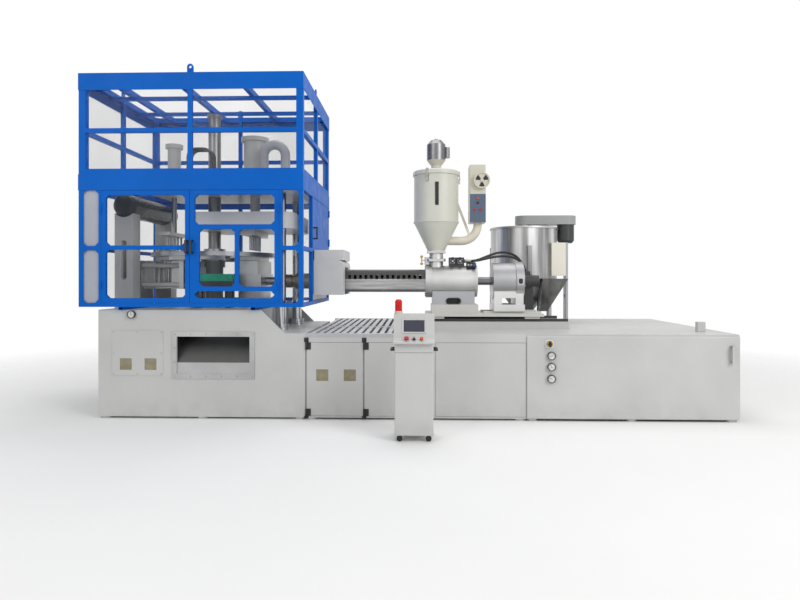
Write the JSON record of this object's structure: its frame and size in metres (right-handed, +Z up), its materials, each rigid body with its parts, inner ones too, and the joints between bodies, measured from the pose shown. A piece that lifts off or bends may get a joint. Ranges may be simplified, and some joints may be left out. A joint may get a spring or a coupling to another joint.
{
  "type": "blow moulding machine",
  "caption": "Injection stretch blow moulding machine: guarded clamp with rotary table, injection unit on rails with hopper dryer, pellet mixer and rolling operator console.",
  "frame": {"origin": "middle of the footprint on the floor, console included", "axes": "+X along the machine from the guarded clamp to the power unit, +Y away from the operator, +Z up"},
  "size_m": [6.53, 3.11, 3.5449],
  "materials": {
    "base_paint": "light grey powder coat",
    "guard_paint": "blue powder coat",
    "clear_pane": "clear polycarbonate",
    "machined_steel": "ground steel",
    "silver_paint": "silver enamel",
    "stainless": "brushed stainless steel",
    "cream_paint": "cream enamel",
    "tank_paint": "grey enamel",
    "dark_paint": "black enamel",
    "black_plastic": "moulded black",
    "black_rubber": "rubber cover",
    "zinc": "zinc plated",
    "heater": "heat tinted steel",
    "red_lens": "red lens",
    "red_plastic": "red cap",
    "amber_plastic": "amber lamp cap",
    "hopper_paint": "warm grey enamel",
    "off_white": "off-white enamel",
    "hazy_sheet": "hazy plastic sheet"
  },
  "bodies": {
    "base": {"clamp_base": "base_paint", "cabinet_base": "base_paint", "power_base": "base_paint", "cover_panels": "base_paint", "leveling_feet": "zinc", "discharge_chute": "zinc", "injection_rails": "machined_steel", "tie_bars": "machined_steel", "injection_mould": "machined_steel", "top_crosshead": "off_white", "press_cylinders": "off_white", "blow_clamp_frame": "off_white", "gauge_cluster": "dark_paint", "catch_tray": "dark_paint", "slat_deck": "silver_paint", "index_drive": "silver_paint", "nozzle_guard": "silver_paint", "mixer_drive": "silver_paint", "guard_lower_frame": "guard_paint", "guard_upper_frame": "guard_paint", "guard_panes": "clear_pane", "guard_fill_panels": "hazy_sheet", "mixer_drum": "stainless", "air_tank": "tank_paint", "clamp_pipes": "tank_paint"},
    "left_door": {"front_door_left": "guard_paint", "front_door_left_panes": "clear_pane"},
    "right_door": {"front_door_right": "guard_paint", "front_door_right_panes": "clear_pane"},
    "side_gate": {"side_door": "guard_paint"},
    "cabinet_left": {"cabinet_door_left": "base_paint"},
    "cabinet_right": {"cabinet_door_right": "base_paint"},
    "clamp": {"clamp_platen": "off_white", "core_set": "machined_steel"},
    "stretch": {"stretch_unit": "machined_steel"},
    "table": {"rotary_table": "machined_steel", "neck_ring_plates": "machined_steel"},
    "blow_outer": {"blow_mould_outer": "machined_steel"},
    "blow_inner": {"blow_mould_inner": "machined_steel"},
    "carriage": {"injection_carriage": "silver_paint", "injection_housing": "silver_paint", "injection_barrel": "heater", "barrel_guard": "stainless", "vacuum_loader": "stainless", "hopper_dryer": "hopper_paint", "dryer_blower": "cream_paint", "injection_hose_front": "black_rubber", "injection_hose_back": "black_rubber"},
    "ram": {"rear_housing": "silver_paint", "hydraulic_motor": "dark_paint"},
    "screw": {"plasticising_screw": "machined_steel"},
    "console": {"console_cabinet": "base_paint", "console_head": "base_paint", "signal_beacon": "red_lens"},
    "left_wheels": {"console_left_wheels": "black_rubber"},
    "right_wheels": {"console_right_wheels": "black_rubber"},
    "stop": {"emergency_stop": "red_plastic"},
    "selector": {"selector_knob": "black_plastic"},
    "start": {"start_button": "amber_plastic"},
    "isolator": {"isolator_knob": "black_plastic"}
  },
  "joints": [
    {"name": "left_door_swing", "type": "hinge", "parent": "base", "child": "left_door", "pos_m": [-3.034, -0.749, 1.7], "axis": [0, 0, -1], "range_deg": [0, 105]},
    {"name": "right_door_swing", "type": "hinge", "parent": "base", "child": "right_door", "pos_m": [-1.246, -0.749, 1.7], "axis": [0, 0, 1], "range_deg": [0, 105]},
    {"name": "side_door_swing", "type": "hinge", "parent": "base", "child": "side_gate", "pos_m": [-0.999, 0.958, 2], "axis": [0, 0, 1], "range_deg": [0, 100]},
    {"name": "cabinet_left_swing", "type": "hinge", "parent": "base", "child": "cabinet_left", "pos_m": [-0.982, -0.705, 0.4], "axis": [0, 0, -1], "range_deg": [0, 100]},
    {"name": "cabinet_right_swing", "type": "hinge", "parent": "base", "child": "cabinet_right", "pos_m": [-0.405, -0.705, 0.4], "axis": [0, 0, -1], "range_deg": [0, 100]},
    {"name": "clamp_stroke", "type": "slide", "parent": "base", "child": "clamp", "axis": [0, 0, -1], "range_m": [0, 0.18]},
    {"name": "stretch_stroke", "type": "slide", "parent": "base", "child": "stretch", "axis": [0, 0, -1], "range_m": [0, 0.18]},
    {"name": "table_index", "type": "hinge", "parent": "base", "child": "table", "pos_m": [-2.21, 0.205, 1.6], "axis": [0, 0, 1], "range_deg": [0, 90]},
    {"name": "blow_outer_close", "type": "slide", "parent": "base", "child": "blow_outer", "axis": [1, 0, 0], "range_m": [0, 0.09]},
    {"name": "blow_inner_close", "type": "slide", "parent": "base", "child": "blow_inner", "axis": [-1, 0, 0], "range_m": [0, 0.09]},
    {"name": "carriage_travel", "type": "slide", "parent": "base", "child": "carriage", "axis": [1, 0, 0], "range_m": [0, 0.25]},
    {"name": "injection_stroke", "type": "slide", "parent": "carriage", "child": "ram", "axis": [-1, 0, 0], "range_m": [0, 0.15]},
    {"name": "screw_spin", "type": "hinge", "parent": "ram", "child": "screw", "pos_m": [-0.22135, 0.205, 1.374], "axis": [1, 0, 0], "continuous": true},
    {"name": "console_roll", "type": "slide", "parent": "base", "child": "console", "axis": [1, 0, 0], "range_m": [-0.3, 0.3]},
    {"name": "left_wheels_roll", "type": "hinge", "parent": "console", "child": "left_wheels", "pos_m": [-0.032, -1.34, 0.025], "axis": [0, 1, 0], "range_deg": [-700, 700]},
    {"name": "right_wheels_roll", "type": "hinge", "parent": "console", "child": "right_wheels", "pos_m": [0.22, -1.34, 0.025], "axis": [0, 1, 0], "range_deg": [-700, 700]},
    {"name": "stop_press", "type": "slide", "parent": "console", "child": "stop", "axis": [0, 0.4191, -0.908], "range_m": [0, 0.005], "stiffness_N_per_m": 1500, "springref_m": -0.003},
    {"name": "start_press", "type": "slide", "parent": "console", "child": "start", "axis": [0, 0.4191, -0.908], "range_m": [0, 0.005], "stiffness_N_per_m": 1500, "springref_m": -0.003},
    {"name": "selector_turn", "type": "hinge", "parent": "console", "child": "selector", "pos_m": [0.094, -1.5225, 0.879], "axis": [0, -0.4191, 0.908], "range_deg": [-45, 45]},
    {"name": "isolator_turn", "type": "hinge", "parent": "base", "child": "isolator", "pos_m": [1.418, -0.7233, 0.762], "axis": [0, -1, 0], "range_deg": [0, 90]}
  ],
  "couplings": [
    {"joint": "blow_inner_close", "follows": "blow_outer_close", "ratio": 1},
    {"joint": "left_wheels_roll", "follows": "console_roll", "rad_per_m": 40},
    {"joint": "right_wheels_roll", "follows": "console_roll", "rad_per_m": 40}
  ]
}
